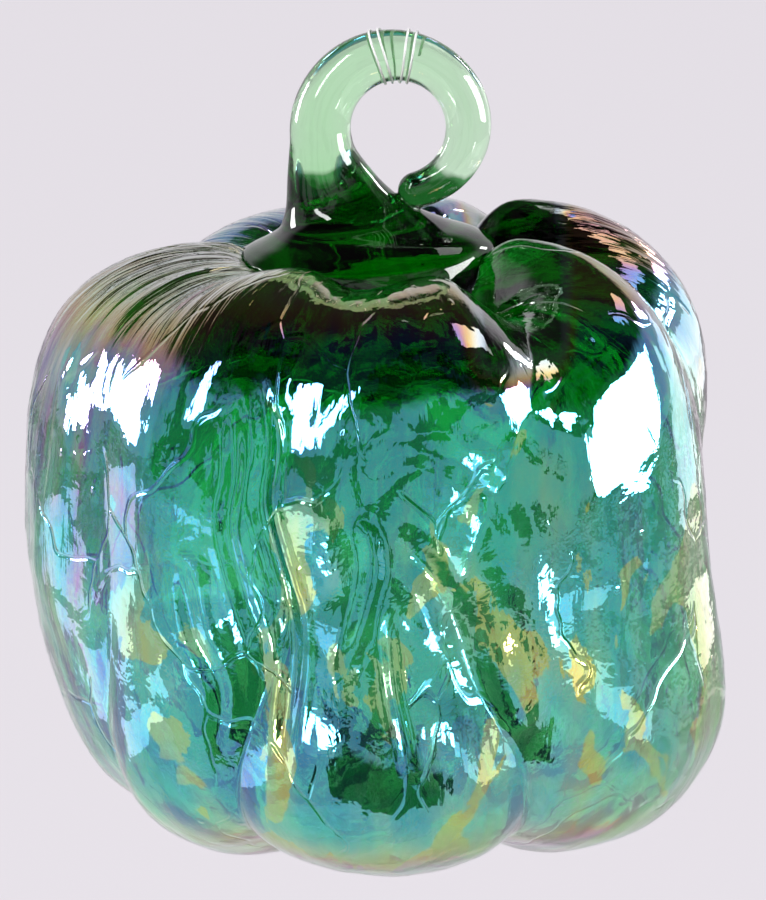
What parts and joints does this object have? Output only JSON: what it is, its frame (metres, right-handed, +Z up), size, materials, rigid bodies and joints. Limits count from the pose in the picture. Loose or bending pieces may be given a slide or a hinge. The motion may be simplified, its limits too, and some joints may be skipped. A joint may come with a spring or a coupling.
{
  "type": "blown glass pepper ornament",
  "caption": "Hollow blown-glass bell pepper ornament with lobed walls, a solid glass stem drawn up into a hanging loop, and a clear line wound round the loop.",
  "frame": {"origin": "inside the crown of the hanging loop, where a hook bears on the rod", "axes": "+Z up, out of the loop's crown; +X across the loop's opening, towards its curled tip; the front looks along -Y"},
  "size_m": [0.0769, 0.0756, 0.0904],
  "materials": {
    "iridescent_green_glass": "polished, with an iridescent luster",
    "clear_green_glass": "fire-polished",
    "clear_nylon": "clear"
  },
  "bodies": {
    "root": {"blown_body": "iridescent_green_glass", "stem_and_loop": "clear_green_glass", "hanging_line": "clear_nylon"}
  },
  "joints": []
}
